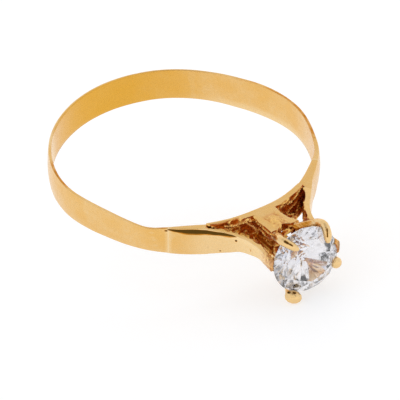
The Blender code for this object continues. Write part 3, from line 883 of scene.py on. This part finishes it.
def weather(mesh, crust=nowhere, tarnish_and_shade=nowhere, wear_and_highlight=nowhere, dents=(), grain=BAND_GRAIN, sharp=True):
    """Moves the surface as casting, filing and wear left it, and notes how each place looks. A dent
    is the two ends of a groove, its radius, its depth and how dark it is."""
    layers = {name: [] for name in LAYERS}
    moved = []
    for corner in mesh.vertices:
        place = corner.co.copy()
        rough = crust(place, corner.normal)
        dark = tarnish_and_shade(place, corner.normal)
        crest = PLAIN_CREST
        lift = sum(ripple(place, size) * height for size, height in (BROAD_WAVES, FINE_WAVES))
        if rough > 0:
            relief, rough, crest, dark = casting_relief(place, rough, dark, grain)
            lift += relief
        for start, end, radius, depth, darkness in dents:
            away = distance_to(place, Vector(start), Vector(end)) / radius
            if away < 1:
                lift -= depth * (1 - away * away) ** 2
                dark = max(dark, darkness * (1 - away**4))
        moved.append(place + corner.normal * lift)
        for layer, value in zip(LAYERS, (rough, crest, dark, wear_and_highlight(place, corner.normal))):
            layers[layer].append(value)
    for corner, place in zip(mesh.vertices, moved):
        corner.co = place
    mesh.shade_smooth()
    if sharp:
        mesh.set_sharp_from_angle(angle=math.radians(SHARP_ANGLE))
    for layer, values in layers.items():
        add_layer(mesh, layer, values)


# How each place looks: how rough it is, how dark from tarnishing and painted shade, and how pale from wear
# and painted highlight, from 0 to 1. An ease fades a look in and out over a small stretch of the angle, the
# height, the radius or the normal.

def everywhere(place, normal):
    return 1.0


def rim_painted_shade(place, normal):
    """Painted shade on the upper rim of the shank."""
    return smooth(RIM_SHADE, band_angle(place))[0] * ease(normal.z, 0.2, 0.6)


def shoulder_painted_shade(place, normal):
    """Painted shade: the dark reflection under the lip of the left shoulder."""
    if not LEFT_SHADE[0][0] < place.x < LEFT_SHADE[-1][0] or band_radius(place) < SHOULDER_OUTSIDE:
        return 0.0
    lip, gap, tall = smooth(LEFT_SHADE, place.x)
    below = lip - gap - place.z
    if below < 0 or tall < 0.01:
        return ease(below, -0.05, 0.0) * ease(tall, 0.0, 0.1)
    return (1 - ease(below, 0.3 * tall, 1.6 * tall)) * ease(tall, 0.0, 0.05)


def band_wear_and_highlight(place, normal):
    """Paler metal at the left seam; painted reflection on the left of the inner face and low on its right;
    and painted highlight on the outside of the left shoulder."""
    angle = band_angle(place)
    radius = band_radius(place)
    inside = ease(INNER_FACE - radius, 0.0, 0.1)
    seam = 0.4 * ease(1.9 - abs(angle - SEAM_ANGLE), 0.0, 1.5)
    left = 0.6 * ease(9.0 - abs(angle - PALE_ANGLE), 0.0, 8.0) * inside
    low = ease(-0.55 - place.z, 0.0, 0.5)
    right = 0.8 * ease(angle, 60.0, 90.0) * ease(150.0 - angle, 0.0, 40.0) * low * inside
    shoulder = SHOULDER_HIGHLIGHT * ease(angle, -38.0, -26.0) * ease(-angle, 0.0, 5.0) * ease(radius, 8.9, 9.1)
    return max(seam, left, right, shoulder)


def claw_worn(place, normal):
    return CLAW_WEAR


def plate_wear_and_highlight(place, normal):
    """Painted highlight on the outside of the left plate, more so towards the stone. The right plate is a
    little paler all over.
    """
    if place.x > 0:
        return RIGHT_PLATE_WEAR
    return (SHOULDER_HIGHLIGHT + 0.25 * ease(-place.y, 8.6, 10.2)) * ease(-normal.x, -0.2, 0.3)


def plate_shade_and_darkening(place, normal):
    """Painted shade, the dark reflection of the left shoulder, and a patchy darkening at the end of the
    right plate.
    """
    if place.x < 0:
        return shoulder_painted_shade(place, normal)
    return 0.40 * ease(-place.y, 13.0, 13.4) * ease(ripple(place, 0.3), -0.5, 0.1)


def arm_painted_shade(place, normal):
    """Painted shade, amber, on the side of the upper right claw's arm that looks at the stone."""
    return 0.5 * ease(12.9 + place.y, 0.0, 0.9) * ease(-normal.x, 0.25, 0.6)


def rail_rough(place, normal):
    """The rail's outer side, which looks into the pockets, and the edge above it on the left."""
    depth = band_radius(place) - smooth(RAIL, band_angle(place))[0]
    side = ease(depth, 0.14, 0.24) * ease(1 - abs(normal.z), 0.2, 0.5)
    return max(side, ease(depth, 0.16, 0.24) * ease(-1.6 - place.x, 0.0, 0.4))


def plate_rough(place, normal):
    """The side of a shoulder plate that looks inwards, and the end of the left one."""
    inside = ease(-normal.x * math.copysign(1, place.x), 0.15, 0.6)
    end = 0.45 * ease(-place.y, 11.2, 12.4) if place.x < 0 else 0.0
    return max(inside, end)


def stem_rough(place, normal):
    """The sides of a stem, and a patch of its top below the fork."""
    sides = ease(1 - abs(normal.z), 0.35, 0.7)
    patch = 0.42 * ease(0.65 - abs(place.x + 0.05), 0.0, 0.25) * ease(-place.y, 9.2, 9.6)
    patch *= ease(ripple(Vector((2 * place.x, place.y, 3.0)), 0.24), -0.5, 0.3)
    return max(sides, patch)


def dress_stone():
    """The CAD stone stays as it is, in a better material."""
    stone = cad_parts["stone"]
    stone.data.materials.clear()
    stone.data.materials.append(stone_material())


def main():
    make_camera()
    make_world()
    make_floor()
    bpy.context.scene.view_settings.view_transform = "Standard"

    band = gold_material("band_gold", PALE_GOLD, WARM_GOLD, polish=0.24, scratch=5.0, pits=0.0)
    cast = gold_material("cast_gold", PALE_GOLD, WARM_GOLD, polish=0.20, scratch=2.5, pits=14.0)
    raw = gold_material("rough_gold", WARM_GOLD, DEEP_GOLD, polish=0.26, scratch=3.0, pits=14.0)
    solder = gold_material("solder", SOLDER_AND_HIGHLIGHT_GOLD, PALE_GOLD, polish=0.34, scratch=2.0, pits=0.0)

    bearing = make_bearing()
    make_shank(band)
    make_seam("left_seam_fillet", SHANK[-1], LEFT_WEDGE[0], solder, "left_solder_seam")
    make_seam("right_seam_fillet", SHANK[0], RIGHT_WEDGE[0], solder, "right_solder_seam")
    make_wedge("left_wedge_cast", LEFT_WEDGE, band, LEFT_DENTS, "left_shoulder_wedge")
    make_wedge("right_wedge_cast", RIGHT_WEDGE, band, RIGHT_DENTS, "right_shoulder_wedge")
    make_plate("left_plate_cast", LEFT_PLATE, -1, cast, LEFT_DENTS, "left_shoulder_plate", bearing)
    make_plate("right_plate_cast", RIGHT_PLATE, 1, cast, (), "right_shoulder_plate", bearing)
    bpy.data.objects.remove(bearing)
    for side in ("left", "right"):
        make_cast(side + "_web_cast", side + "_web", raw, everywhere)
    make_cast("rail_cast", "finger_rail", cast, rail_rough, rounds=MANY_ROUNDS)
    make_cast("upper_stem_cast", "upper_stem", cast, stem_rough, grain=STEM_GRAIN,
              rounds=MANY_ROUNDS, root=STEM_ROOT)
    make_cast("lower_stem_cast", "lower_stem", raw, stem_rough, grain=STEM_GRAIN,
              root=STEM_ROOT)
    make_cast("gallery_cast", "gallery_ring", raw, everywhere, grain=PLATE_GRAIN)
    for claw, dents in CLAW_DENTS.items():
        # The upper right claw's arm gets painted shade on its side towards the stone.
        tarnish_and_shade = arm_painted_shade if claw == "upper_right" else nowhere
        make_cast("claw_" + claw + "_cast", "claw_" + claw, cast, tarnish_and_shade=tarnish_and_shade,
                  wear_and_highlight=claw_worn, dents=dents, voxel=CLAW_VOXEL)
    dress_stone()


main()
